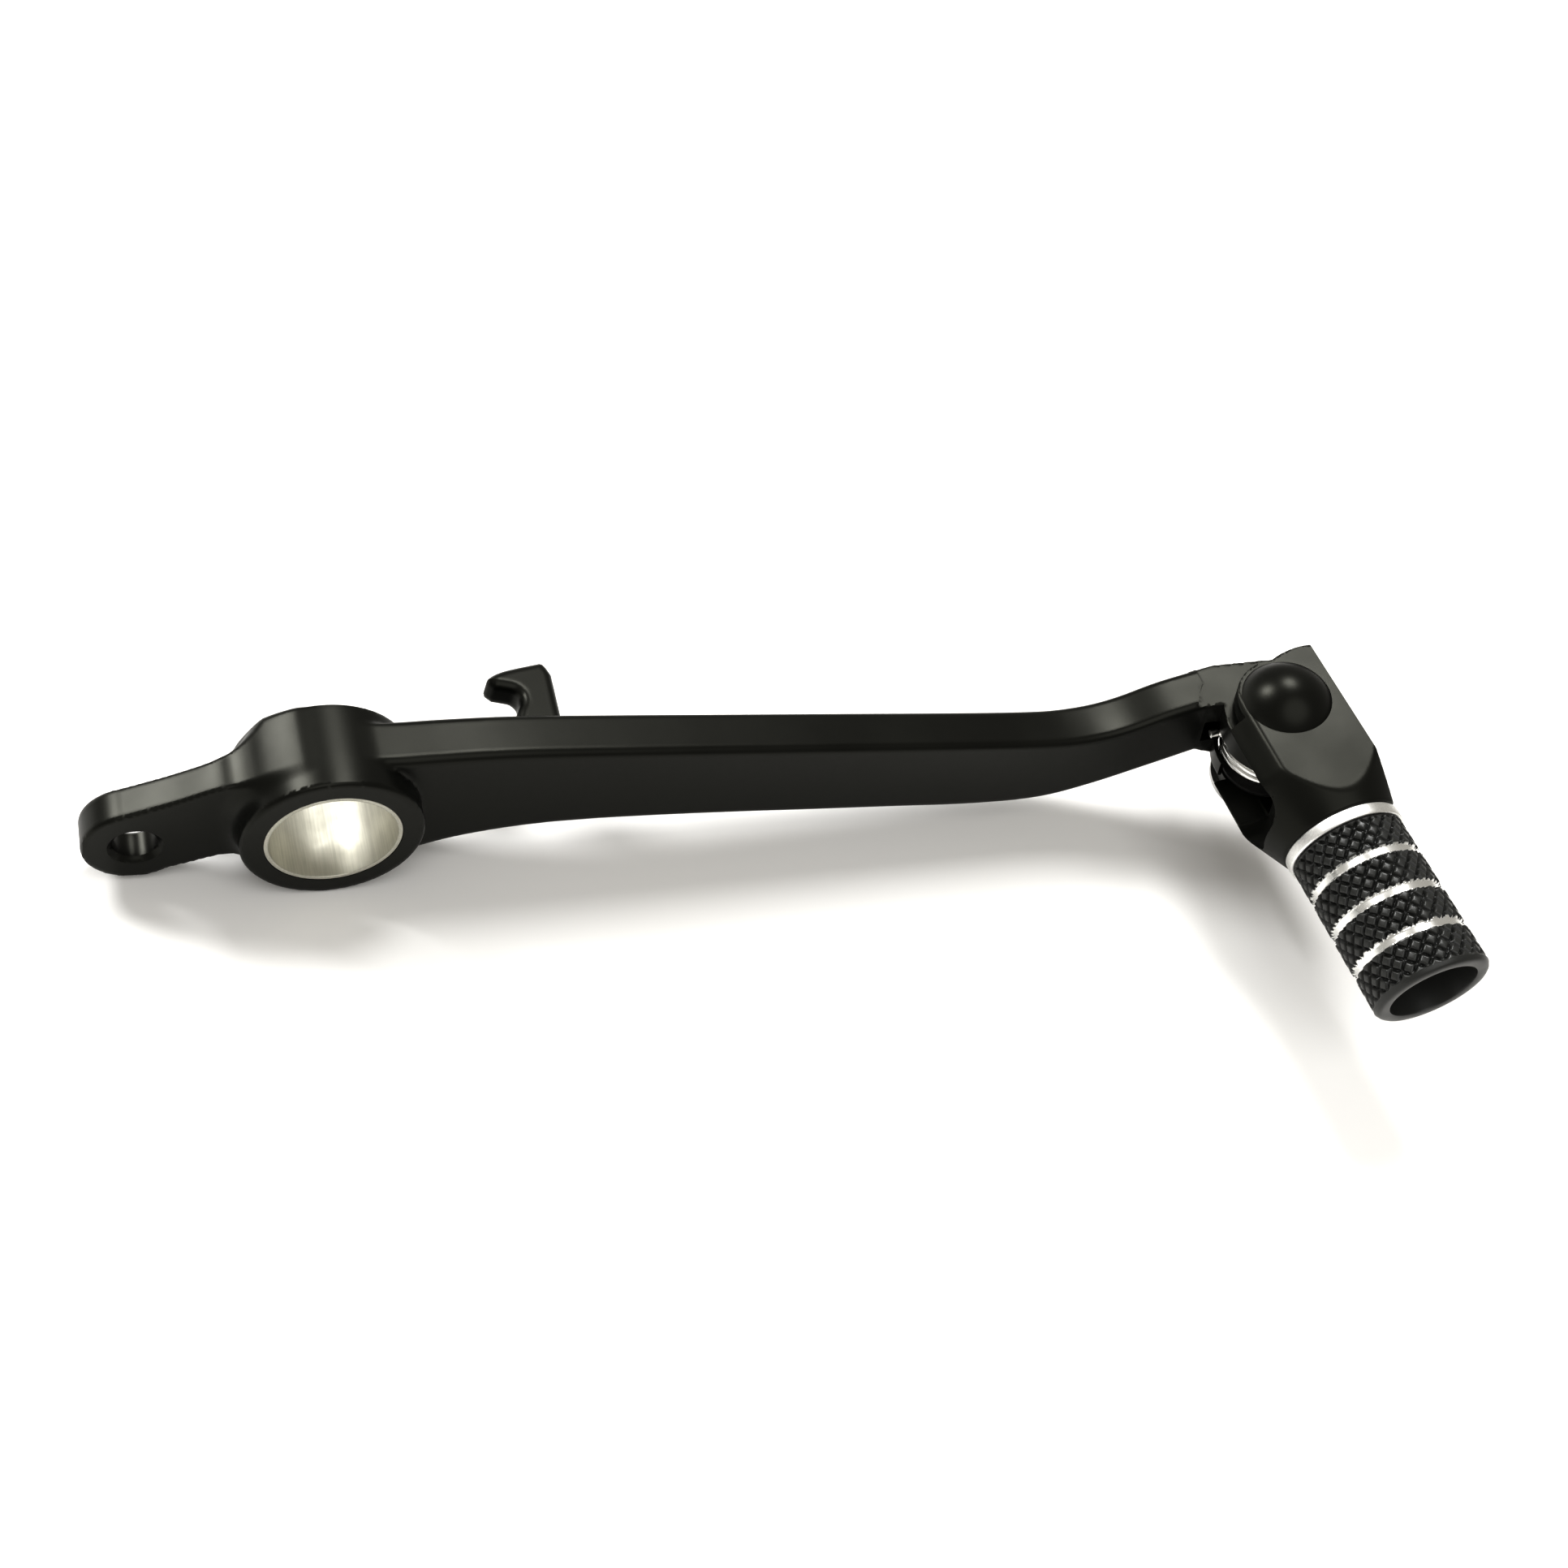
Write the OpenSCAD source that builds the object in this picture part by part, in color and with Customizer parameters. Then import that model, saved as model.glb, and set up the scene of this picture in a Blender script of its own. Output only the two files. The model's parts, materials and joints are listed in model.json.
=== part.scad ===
// Gear shift lever with a folding toe tip.
// Origin: centre of the pivot bore, halfway along it.
// +X runs along the arm to the toe tip, the pivot bore lies along Y, +Z is up.

/* [Pivot boss] */
// Outer diameter of the boss on the frame pivot
boss_d = 21.5; // [19:0.1:24]
// Length of the boss along the pivot
boss_len = 12.2; // [10:0.1:16]
// Edge chamfer of the boss
boss_chamfer = 0.5; // [0.2:0.1:1]
// Bore of the pivot bush
bush_bore_d = 15; // [13:0.1:16]
// Outer diameter of the pivot bush
bush_od = 16.2; // [15:0.1:18]

/* [Arm] */
// Distance from the pivot plane to the outer face of the arm
arm_front = 2.7; // [2:0.1:4]
// Distance from the pivot plane to the inner face of the arm
arm_back = 4; // [3:0.1:5]

/* [Shift rod lug] */
// Thickness of the lug
lug_t = 4.4; // [3.5:0.1:6]
// Distance from the pivot to the rod hole
rod_reach = 22; // [20:0.5:26]
// Angle of the rod hole below the arm line
rod_drop = 13; // [5:1:20]
// Core diameter of the M6 thread for the shift rod joint
rod_thread_d = 5; // [4.2:0.1:6.8]
// Chamfer at both mouths of the threaded hole
rod_chamfer = 0.6; // [0.2:0.1:1]
// Radius of the lug's round end
lug_r = 5.9; // [5:0.1:7]

/* [Spring hook] */
// Distance from the pivot to the hook's stem
hook_x = 24.2; // [20:0.1:40]
// Reach of the hook behind the arm
hook_reach = 11.2; // [8:0.1:14]
// Width of the hook's stem
hook_w = 4.4; // [3:0.1:6]
// Thickness of the hook
hook_t = 4.2; // [2:0.1:5]
// Height of the hook's top face above the pivot
hook_top = 8; // [6:0.1:9]

/* [Fold pin] */
// Distance of the fold pin from the pivot along X
pin_x = 130; // [120:1:140]
// Distance of the fold pin in front of the pivot plane
pin_y = 7; // [6:0.1:8]
// Height of the upper ear's face above the pivot at the fold pin
pin_z = 25; // [20:0.5:30]
// Lean of the fold pin back towards the pivot
pin_lean = 23; // [15:1:30]
// Diameter of the pin's shank
pin_d = 8; // [6:0.1:8.4]
// Diameter of the domed pin head
dome_d = 12.6; // [11:0.1:14]
// Height of the domed pin head
dome_h = 3.4; // [2:0.1:5]

/* [Toe tip] */
// Diameter of the knuckle's turned barrel
knuckle_d = 23.6; // [22:0.1:25]
// Height of the knuckle between its two milled flats
knuckle_h = 19; // [18:0.1:20]
// Thickness of each knuckle ear
ear_t = 2.9; // [2.5:0.1:3.2]
// Reach of the knuckle in front of the fold pin
knuckle_reach = 19; // [18:0.5:22]
// Distance from the fold pin to the knuckle's flat outer side
knuckle_side = 7.6; // [7:0.1:9]
// Outer diameter of the bright collar
collar_d = 16.9; // [16:0.1:18]
// Width of the bright collar
collar_w = 1.8; // [1:0.1:3]
// Outer diameter of the knurled toe sleeve
sleeve_d = 16.2; // [15:0.1:17]
// Length of the knurled toe sleeve
sleeve_len = 23.7; // [20:0.1:30]
// Bore of the toe sleeve's open end
sleeve_bore_d = 12.2; // [11:0.1:13]

/* [Torsion spring] */
// Diameter of the spring wire
wire_d = 1.3; // [1:0.1:1.5]
// Number of full coils
coils = 2; // [1:1:2]

/* [Hidden] */
$fn = 96;
eps = 0.01;                 // overlap that keeps cuts clean
inset = 0.03;               // the tongue starts this far inside the arm's faces
far = 60;                   // length that reaches past every solid
running = 0.04;             // radial play of a pin in its bore
overrun = 0.1;
rod_x = -rod_reach * cos(rod_drop);
rod_z = -rod_reach * sin(rod_drop);

// Fold end, in the pin's own frame: its z axis is the pin, z = 0 is the
// upper ear's outer face, and the toe tip points along -y.
arm_face = pin_y - arm_front;         // y of the arm's outer face
arm_rear = pin_y + arm_back;          // y of the arm's inner face
washer_t = 0.6;                       // thickness of a thrust washer
slot_top = -ear_t;
slot_floor = ear_t - knuckle_h;
slot_end = 9;                         // slot's end wall, towards the toe
tongue_top = slot_top - washer_t - 0.03;
tongue_floor = slot_floor + 0.3;
tongue_t = 4.7;                       // height of solid tongue on the pin
shelf = tongue_top - tongue_t;        // tongue's lower face, over the spring
eye_r = 8;                            // round eye of the tongue
stop_y = slot_end - 0.05;             // tongue's stop, against the slot's end
pocket_r = 7.8;                       // round pocket for the spring
bush_r = pin_d / 2 + 1;               // outer radius of the tongue bush
thrust_r = 6.6;                       // outer radius of the thrust washers
coil_r = 6.8;                         // mean radius of the coils
coil_pitch = wire_d + 0.05;
coil_top = shelf - 0.1 - wire_d / 2;  // centre of the wire in the top coil
coil_end = coil_top - coils * coil_pitch;
notch_low = -12.2;                     // lower end of the notch for the spring's leg
leg_r = 1.1;                          // bend of the spring's two end legs
spot_r = 11.8;                        // spot faces under and over the ears
tip_dx = 0.9;                         // toe axis is this far ahead of the pin
cone_start = 11.5;                    // barrel ends and the cone starts
nose_r = 8.6;                         // cone's small end
spigot_r = 5;                         // seat of the collar and the sleeve
spigot_len = 6;
seat_t = 3;                           // sleeve's inner wall under the screw
screw_r = 3;                          // M6
head_r = 5;
head_h = 6;
groove_w = 1.2;                       // bare grooves of the toe sleeve
groove_pitch = 6;
groove_r = 3;                         // bottom of the pin's groove for the clip
clip_t = 0.8;

// Smooth curve through a few points: each span is a cubic whose slope at a
// point is half the step between that point's neighbours.
function at(p, i) = p[max(0, min(len(p) - 1, i))];
function span(p, i, t) =
    let (a = at(p, i - 1), b = at(p, i), c = at(p, i + 1), d = at(p, i + 2))
    b + t * (c - a) / 2
      + t * t * (a - 2.5 * b + 2 * c - d / 2)
      + t * t * t * (1.5 * (b - c) + (d - a) / 2);
function curve(p, n = 6) =
    concat([for (i = [0 : len(p) - 2], k = [0 : n - 1]) span(p, i, k / n)],
           [p[len(p) - 1]]);

// Side outline of the arm, in x and z, from the boss to the fold end.
arm_top_line = [[2, 10.1], [7, 10.1], [12, 10.5], [20, 10.9], [30, 10.9],
                [60, 10.5], [96, 10.1], [106, 10.9], [112, 12.9], [117, 16],
                [121.5, 18]];
arm_low_line = [[3, -10], [10, -8.2], [17, -5.6], [28, -3.7], [45, -3.2],
                [75, -3.6], [93, -3.8], [104, -2.9], [112, -0.1],
                [120, 3.9], [128, 8.1]];

module at_pin() {
    translate([pin_x, -pin_y, pin_z])
        rotate([0, -pin_lean, 0])
            children();
}

// Along the toe axis: z = 0 is at the pin, z grows towards the toe's end.
module at_toe() {
    at_pin()
        translate([tip_dx, 0, -knuckle_h / 2])
            rotate([90, 0, 0])
                children();
}

module along_y(from, to) {
    translate([0, to, 0])
        rotate([90, 0, 0])
            linear_extrude(to - from)
                children();
}

module disc(r, z0, z1) {
    translate([0, 0, z0])
        cylinder(r = r, h = z1 - z0);
}

module ring(r_out, r_in, z0, z1) {
    difference() {
        disc(r_out, z0, z1);
        disc(r_in, z0 - eps, z1 + eps);
    }
}

module boss() {
    rotate([90, 0, 0])
        rotate_extrude()
            polygon([[0, -boss_len / 2],
                     [boss_d / 2 - boss_chamfer, -boss_len / 2],
                     [boss_d / 2, boss_chamfer - boss_len / 2],
                     [boss_d / 2, boss_len / 2 - boss_chamfer],
                     [boss_d / 2 - boss_chamfer, boss_len / 2],
                     [0, boss_len / 2]]);
}

module arm_blade() {
    low = curve(arm_low_line);
    along_y(-arm_front, arm_back)
        polygon(concat(curve(arm_top_line),
                       [for (i = [len(low) - 1 : -1 : 0]) low[i]]));
}

// Lug outline: a round end round the rod hole, blended into the boss.
module lug() {
    low = curve([[-2, -9.6], [-7, -8.3], [-11, -7.3], [-16, -8.9], [rod_x, rod_z - lug_r + 0.02]]);
    top = curve([[rod_x - 2, rod_z + lug_r - 0.4], [-18, 2.9], [-13.4, 5.3], [-11, 6.3],
                 [-9.2, 7.2], [-7.4, 7.8], [-4, 8.6]]);
    along_y(-lug_t / 2, lug_t / 2)
        polygon(concat(low, top));
    translate([rod_x, lug_t / 2, rod_z])
        rotate([90, 0, 0])
            cylinder(r = lug_r, h = lug_t);
}

// Hook for the return spring: a flat stem out of the arm's inner face, whose
// end turns back towards the pivot.
module spring_hook() {
    tip_y = arm_back + hook_reach;
    right = hook_x + hook_w;
    outer = curve([[right - 0.4, tip_y + 0.1], [hook_x, tip_y - 0.9], [hook_x - 2, tip_y - 1.6],
                   [hook_x - 3.3, tip_y - 2.5], [hook_x - 3.3, tip_y - 3.1]], 4);
    inner = curve([[hook_x - 2.5, tip_y - 3.6], [hook_x - 1.4, tip_y - 3.75],
                   [hook_x - 0.3, tip_y - 4], [hook_x + 0.4, tip_y - 4.6],
                   [hook_x + 0.6, tip_y - 5.4], [hook_x + 0.3, tip_y - 6.8],
                   [hook_x - 0.6, tip_y - 8.2], [hook_x - 2, arm_back - 1]], 4);
    translate([0, 0, hook_top - hook_t])
        linear_extrude(hook_t)
            polygon(concat(
                [[right + 0.4, arm_back - 1], [right + 0.9, tip_y - 2],
                 [right + 0.5, tip_y - 0.8]],
                outer, inner));
}

// Plan outline of the fold end, in the pin's frame: the arm's width runs into
// a round eye, with a square stop corner towards the slot's end wall.
module tongue_plan() {
    circle(r = eye_r);
    polygon([[-14, arm_face + inset], [-7.4, arm_face - 0.4], [0, 0], [eye_r, 0], [7.4, 3.6],
             [5.3, 7.2], [2.2, 9.3], [-5.5, arm_rear - inset], [-14, arm_rear - inset]]);
    polygon([[0, 0], [2, -stop_y], [6.5, -stop_y], [7.6, -2.4]]);
}

module fold_end() {
    at_pin()
        translate([0, 0, tongue_floor])
            linear_extrude(tongue_top - tongue_floor)
                tongue_plan();
}

// Cuts at the fold end: spot faces for both ears, the spring's pocket and
// the notch that holds the spring's upper leg, and the bush bore.
module fold_cuts() {
    at_pin() {
        disc(spot_r, tongue_top, far / 2);
        disc(spot_r, -far / 2, tongue_floor);
        disc(pocket_r, -far / 2, shelf);
        translate([-far / 2, -far, -far / 2])
            cube([far, far - 0.5, far / 2 + shelf]);
        translate([-9.3, -0.6, notch_low])
            cube([4, 7.8, shelf + 0.7 - notch_low]);
        disc(bush_r, -far / 2, far / 2);
    }
}

module lever_arm() {
    color([0.05, 0.05, 0.055])
        difference() {
            union() {
                boss();
                arm_blade();
                lug();
                spring_hook();
                fold_end();
            }
            rotate([90, 0, 0])
                disc(bush_od / 2, -far / 2, far / 2);
            translate([rod_x, 0, rod_z])
                rotate([90, 0, 0])
                    disc(rod_thread_d / 2, -far / 2, far / 2);
            for (side = [-1, 1])
                translate([rod_x, side * lug_t / 2, rod_z])
                    rotate([-90 * side, 0, 0])
                        translate([0, 0, -rod_chamfer])
                            cylinder(r1 = rod_thread_d / 2 - eps,
                                     r2 = rod_thread_d / 2 + rod_chamfer + overrun,
                                     h = rod_chamfer + overrun);
            fold_cuts();
        }
}

module pivot_bush() {
    color([0.82, 0.83, 0.84])
        rotate([90, 0, 0])
            ring(bush_od / 2, bush_bore_d / 2, -boss_len / 2, boss_len / 2);
}

module tongue_bush() {
    color([0.7, 0.55, 0.3])
        at_pin()
            ring(bush_r, pin_d / 2 + running, shelf, tongue_top);
}

module upper_thrust_washer() {
    color([0.85, 0.85, 0.8])
        at_pin()
            ring(thrust_r, pin_d / 2 + running, slot_top - washer_t, slot_top);
}

module lower_thrust_washer() {
    color([0.85, 0.85, 0.8])
        at_pin()
            ring(thrust_r, pin_d / 2 + running, slot_floor, slot_floor + washer_t);
}

module spring_sleeve() {
    color([0.75, 0.75, 0.77])
        at_pin()
            ring(bush_r, pin_d / 2 + running, slot_floor + washer_t, shelf - 0.05);
}

// Wire path of the torsion spring: a leg that stands out into the arm's notch,
// the coils, and a leg that stands out into the slot's end wall.
turn_steps = 24;
quarter = [90, 60, 30, 0];
wire_path = concat(
    [[-coil_r - leg_r - 1, 3, coil_top]],
    [for (a = quarter)
        [leg_r * cos(a) - coil_r - leg_r, leg_r * sin(a) + 3 - leg_r, coil_top]],
    [for (i = [0 : coils * turn_steps + turn_steps / 4])
        let (a = 180 + i * 360 / turn_steps)
        [coil_r * cos(a), coil_r * sin(a),
         max(coil_end, coil_top - coil_pitch * i / turn_steps)]],
    [for (a = [60, 30, 0])
        [leg_r * cos(a), leg_r * sin(a) - coil_r - leg_r, coil_end]],
    [[leg_r, -slot_end - 1.4, coil_end]]);

function unit(v) = v / norm(v);
function heading(p, i) = unit(at(p, i + 1) - at(p, i - 1));

// Round wire swept along a path that never runs straight up.
module wire(path, r, sides = 10) {
    rings = [for (i = [0 : len(path) - 1])
        let (t = heading(path, i), u = unit(cross([0, 0, 1], t)), v = cross(t, u))
        for (k = [0 : sides - 1])
            path[i] + r * (cos(360 * k / sides) * u + sin(360 * k / sides) * v)];
    last = (len(path) - 1) * sides;
    polyhedron(rings, concat(
        [[for (k = [0 : sides - 1]) k]],
        [for (i = [0 : len(path) - 2], k = [0 : sides - 1])
            let (a = i * sides + k, b = i * sides + (k + 1) % sides)
            [a, a + sides, b + sides, b]],
        [[for (k = [sides - 1 : -1 : 0]) last + k]]));
}

module torsion_spring() {
    color([0.85, 0.85, 0.87])
        at_pin()
            wire(wire_path, wire_d / 2);
}

// Domed pin: head, plain shank through both ears, and a groove for the clip.
pin_end = -knuckle_h - 3;
clip_z = -knuckle_h - 1;
module fold_pin() {
    dome_r = (dome_d * dome_d / 4 + dome_h * dome_h) / (2 * dome_h);
    color([0.06, 0.06, 0.06])
        at_pin()
            difference() {
                union() {
                    intersection() {
                        translate([0, 0, dome_h - dome_r])
                            sphere(r = dome_r);
                        disc(dome_d, 0, far);
                    }
                    disc(pin_d / 2, pin_end + 0.5, eps);
                    translate([0, 0, pin_end])
                        cylinder(r1 = pin_d / 2 - 0.5, r2 = pin_d / 2, h = 0.5 + eps);
                }
                ring(far, groove_r, clip_z - clip_t - 0.1, clip_z);
            }
}

module pin_washer() {
    color([0.75, 0.75, 0.77])
        at_pin()
            ring(7.5, pin_d / 2 + 0.1, clip_z, -knuckle_h);
}

// Retaining clip with three inner lugs and an open mouth.
module pin_clip() {
    mouth = 4.6;
    lug_w = 1.8;
    color([0.35, 0.35, 0.37])
        at_pin()
            translate([0, 0, clip_z - clip_t - 0.05])
                linear_extrude(clip_t) {
                    difference() {
                        circle(r = 6.2);
                        circle(r = pin_d / 2 + 0.3);
                        translate([-mouth / 2, -far])
                            square([mouth, far]);
                    }
                    for (a = [0, 90, 180])
                        rotate(a)
                            translate([groove_r + 0.05, -lug_w / 2])
                                square([2.4, lug_w]);
                }
}

// Knuckle: a turned barrel and cone, milled flat above, below and on its
// outer side, and slotted for the tongue. The slot's end wall is the stop.
module tip_knuckle() {
    ear_tip_r = 6.9;
    ear_side_r = 11.1;
    color([0.05, 0.05, 0.055])
        difference() {
            intersection() {
                at_toe()
                    rotate_extrude()
                        polygon([[0, -12], [knuckle_d / 2, -12], [knuckle_d / 2, cone_start],
                                 [nose_r, knuckle_reach], [0, knuckle_reach]]);
                at_pin()
                    translate([-far / 2, -far / 2, -knuckle_h])
                        cube([far, far, knuckle_h]);
                at_pin()
                    union() {
                        disc(ear_tip_r, -far / 2, far / 2);
                        translate([5.5, -3.4, 0])
                            disc(ear_side_r, -far / 2, far / 2);
                        translate([-far / 2, -far, -far / 2])
                            cube([far, far - 1, far]);
                    }
            }
            at_pin() {
                // slot for the tongue, with round corners towards the toe
                translate([-far / 2, -slot_end, slot_floor])
                    cube([far, far, slot_top - slot_floor]);
                translate([knuckle_side, -far / 2, -far / 2])
                    cube(far);
                translate([-4 - far / 2, 0, 0])
                    rotate([90, 0, 90])
                        linear_extrude(far / 2)
                            pocket_side();
                disc(pin_d / 2 + running, -far / 2, far / 2);
                // seat of the spring's lower leg in the slot's end wall
                translate([leg_r, -slot_end + 1, coil_end])
                    rotate([90, 0, 0])
                        cylinder(r = wire_d / 2 + 0.1, h = 3);
            }
            at_toe()
                disc(screw_r + 0.05, 10.5, far);
        }
    color([0.05, 0.05, 0.055])
        at_toe()
            ring(spigot_r, screw_r + 0.05, knuckle_reach - 0.5, knuckle_reach + spigot_len);
}

// Side view of the clearance pocket on the arm's side of the knuckle.
module pocket_side() {
    depth = 15.6;
    corner = 4.5;
    height = slot_top - slot_floor;
    translate([corner - depth, slot_floor])
        square([depth, height]);
    translate([-depth, slot_floor + corner])
        square([depth, height - 2 * corner]);
    for (z = [slot_floor + corner, slot_top - corner])
        translate([corner - depth, z])
            circle(r = corner);
}

module collar_ring() {
    color([0.85, 0.85, 0.86])
        at_toe()
            ring(collar_d / 2, spigot_r + 0.02, knuckle_reach, knuckle_reach + collar_w);
}

// Knurled sleeve: spigot bore, inner wall that the screw clamps, and a
// wide open end.
sleeve_start = knuckle_reach + collar_w;
seat_z = knuckle_reach + spigot_len + 0.2;
module toe_sleeve() {
    end = sleeve_start + sleeve_len;
    r = sleeve_d / 2;
    color([0.06, 0.06, 0.06])
        at_toe()
            difference() {
                union() {
                    disc(r, sleeve_start, end - 0.8);
                    translate([0, 0, end - 0.8])
                        cylinder(r1 = r, r2 = r - 0.5, h = 0.8);
                }
                disc(spigot_r + 0.02, sleeve_start - eps, seat_z);
                disc(screw_r + 0.2, 0, far);
                disc(sleeve_bore_d / 2, seat_z + seat_t, far);
                for (k = [1 : 3])
                    ring(far, r - 0.45, knuckle_reach + 0.8 + k * groove_pitch,
                         knuckle_reach + 0.8 + k * groove_pitch + groove_w);
            }
}

module tip_lock_washer() {
    lift = seat_z + seat_t;
    color([0.6, 0.6, 0.62])
        at_toe()
            difference() {
                ring(head_r, screw_r + 0.1, lift, lift + 1.4);
                rotate([0, 20, 0])
                    translate([0, -0.3, 0])
                        cube([far, 0.6, far]);
            }
}

module tip_screw() {
    under_head = seat_z + seat_t + 1.4;
    hex_flats = 5;
    color([0.2, 0.2, 0.21])
        at_toe()
            difference() {
                union() {
                    disc(screw_r, 11.5, under_head + eps);
                    disc(head_r, under_head, under_head + head_h - 0.5);
                    translate([0, 0, under_head + head_h - 0.5])
                        cylinder(r1 = head_r, r2 = head_r - 0.4, h = 0.5);
                }
                translate([0, 0, under_head + head_h / 2])
                    cylinder(d = hex_flats / cos(30), h = head_h, $fn = 6);
            }
}

lever_arm();
pivot_bush();
tongue_bush();
upper_thrust_washer();
lower_thrust_washer();
spring_sleeve();
torsion_spring();
fold_pin();
pin_washer();
pin_clip();
tip_knuckle();
collar_ring();
toe_sleeve();
tip_lock_washer();
tip_screw();
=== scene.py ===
import json
import math

import bpy
import numpy as np
from mathutils import Matrix, Vector


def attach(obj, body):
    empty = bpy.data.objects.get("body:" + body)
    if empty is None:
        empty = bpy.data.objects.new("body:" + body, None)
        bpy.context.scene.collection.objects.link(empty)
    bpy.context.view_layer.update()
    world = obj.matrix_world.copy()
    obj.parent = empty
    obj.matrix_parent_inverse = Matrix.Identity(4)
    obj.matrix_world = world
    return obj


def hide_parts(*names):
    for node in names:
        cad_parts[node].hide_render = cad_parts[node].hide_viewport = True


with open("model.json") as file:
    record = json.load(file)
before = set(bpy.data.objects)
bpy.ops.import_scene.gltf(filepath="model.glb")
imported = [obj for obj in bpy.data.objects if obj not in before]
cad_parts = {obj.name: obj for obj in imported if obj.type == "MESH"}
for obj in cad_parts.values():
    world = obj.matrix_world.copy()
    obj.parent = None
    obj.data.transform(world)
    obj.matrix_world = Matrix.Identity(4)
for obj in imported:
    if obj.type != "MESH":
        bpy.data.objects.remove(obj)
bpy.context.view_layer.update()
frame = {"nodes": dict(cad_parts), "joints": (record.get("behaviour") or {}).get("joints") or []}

# ---------------------------------------------------------------------------
# Lever arm: one aluminium forging, with the pivot boss, the drilled lug for
# the shift rod, the curved arm, the hook for the return spring and the eye
# of the fold end. Forged with soft edges, machined at the bores, under and
# over the eye and at the spring's notch, then anodised satin black.
MM = 0.001
EDGE_ANGLE = math.radians(38)          # steeper folds than this stay crisp

fold = frame["joints"][0]
pin_at = np.array(fold["pos_m"]) / MM
lean = math.atan2(fold["axis"][0], -fold["axis"][2])

boss_r, boss_half = 10.75, 6.1
bush_r, bore_r = 8.1, 7.5
arm_front, arm_back = -2.7, 4.0
arm_edge = 1.1                         # radius of the arm's long edges
arm_top_line = [(2, 10.1), (7, 10.1), (12, 10.5), (20, 10.9), (30, 10.9), (60, 10.5), (96, 10.1),
                (106, 10.9), (112, 12.9), (117, 16), (121.5, 18.1), (126, 20), (130, 21.7)]
arm_low_line = [(3, -10), (10, -8.2), (17, -5.6), (28, -3.7), (45, -3.2), (75, -3.6), (93, -3.8),
                (104, -2.9), (112, -0.1), (120, 3.9), (128, 8.1)]
rod_x, rod_z = -22 * math.cos(math.radians(13)), -22 * math.sin(math.radians(13))
rod_r, rod_chamfer = 2.5, 0.6
lug_r, lug_half = 5.9, 2.2
hook_x, hook_right, hook_tip, hook_top, hook_half = 24.2, 28.6, 15.2, 8.0, 2.1
slot_top, slot_floor, slot_end = -2.9, -16.1, 9.0
tongue_top, tongue_floor, shelf = -3.53, -15.8, -8.23
spot_r, pocket_r, eye_r, eye_bore = 11.8, 7.5, 8.15, 5.0


def spline(points, steps=8):
    """A smooth curve through the points: between two of them, a cubic whose slope at each is half
    the step between that point's neighbours."""
    p = np.array([points[0], *points, points[-1]], float)
    t = np.arange(steps)[:, None] / steps
    a, b, c, d = p[:-3, None], p[1:-2, None], p[2:-1, None], p[3:, None]
    curve = (b + t * (c - a) / 2 + t**2 * (a - 2.5 * b + 2 * c - d / 2)
             + t**3 * (1.5 * (b - c) + (d - a) / 2))
    return np.vstack([curve.reshape(-1, 2), p[-1:]])


def outline(points, a, b):
    """Distance in a plane to a closed outline: how far the nearest side is, counted negative inside,
    where a ray crosses an odd number of sides."""
    p = np.asarray(points, float)
    best, inside = np.inf, False
    for (x0, y0), (x1, y1) in zip(p, np.roll(p, -1, axis=0)):
        ex, ey = x1 - x0, y1 - y0
        t = np.clip(((a - x0) * ex + (b - y0) * ey) / (ex * ex + ey * ey + 1e-12), 0, 1)
        best = np.minimum(best, (a - x0 - ex * t) ** 2 + (b - y0 - ey * t) ** 2)
        inside ^= ((y0 > b) != (y1 > b)) & (a < x0 + (b - y0) * ex / (ey or 1))
    return np.where(inside, -1, 1) * np.sqrt(best)


def joined(a, b, fillet):
    """Two solids in one, with a soft fillet: the nearer surface's distance, less a bump where both
    are about as near."""
    overlap = np.clip(1 - np.abs(a - b) / fillet, 0, 1)
    return np.minimum(a, b) - overlap**2 * fillet / 4


def kept(a, b, edge):
    """What lies inside both shapes, its edge rounded to the radius edge."""
    corner = np.hypot(np.maximum(a + edge, 0), np.maximum(b + edge, 0))
    return np.minimum(np.maximum(a, b), -edge) + corner


def at_pin(x, y, z):
    """A point in the fold pin's frame: u along the arm's end, v away from the toe, w up the pin
    from the upper ear's face."""
    dx, dz = x - pin_at[0], z - pin_at[2]
    return (dx * math.cos(lean) + dz * math.sin(lean), y - pin_at[1],
            -dx * math.sin(lean) + dz * math.cos(lean))


def eased(points, reach=3.5, step=0.25):
    """The curve z(x) through the points, with its bends eased out over the reach to both sides by a
    bell-shaped running mean, and its slope."""
    curve = spline(points)
    x = np.arange(curve[0, 0], curve[-1, 0], step)
    bell = np.hanning(2 * int(reach / step) + 1)
    z = np.pad(np.interp(x, curve[:, 0], curve[:, 1]), len(bell) // 2, "reflect",
               reflect_type="odd")
    z = np.convolve(z, bell / bell.sum(), "valid")
    return x, z, np.gradient(z, step)


def height_over(line, x, z):
    """How far a point lies over a curve z(x), measured square to the curve."""
    along, height, slope = line
    return (z - np.interp(x, along, height)) / np.hypot(1, np.interp(x, along, slope))


def beyond(x, start, field, x_y_z):
    """A field worked out only where x is past start, and far outside elsewhere."""
    wanted = (x > start).reshape(len(x), -1)[:, 0]
    part = field(*(c[wanted] if len(c) == len(x) else c for c in x_y_z))
    whole = np.full((len(x), *part.shape[1:]), 50.0)
    whole[wanted] = part
    return whole


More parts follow.
